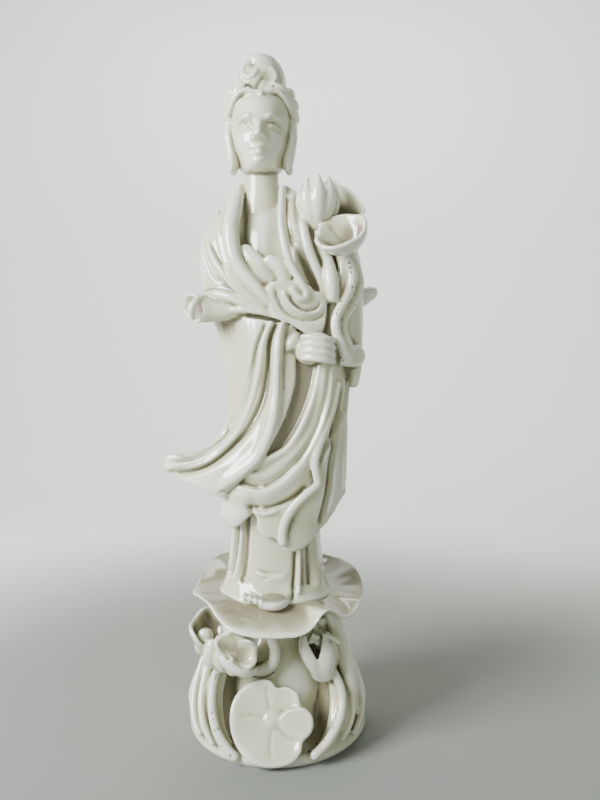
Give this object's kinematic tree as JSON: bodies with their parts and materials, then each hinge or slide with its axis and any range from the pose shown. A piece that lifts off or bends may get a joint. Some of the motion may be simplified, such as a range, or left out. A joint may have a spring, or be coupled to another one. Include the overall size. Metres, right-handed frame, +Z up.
{
  "type": "blanc de chine figure",
  "caption": "White glazed porcelain standing figure in flowing robes holding a lotus spray, on a mound of lotus leaves and stems.",
  "frame": {"origin": "middle of the plinth's round flat underside", "axes": "+Z up, -Y towards the viewer that the figure faces, +X to that viewer's right"},
  "size_m": [0.0649, 0.0537, 0.1996],
  "materials": {
    "ivory_glaze": "clear glossy glaze over warm white porcelain, pooled a little darker in the recesses"
  },
  "bodies": {
    "root": {"figure": "ivory_glaze", "plinth": "ivory_glaze"}
  },
  "joints": []
}
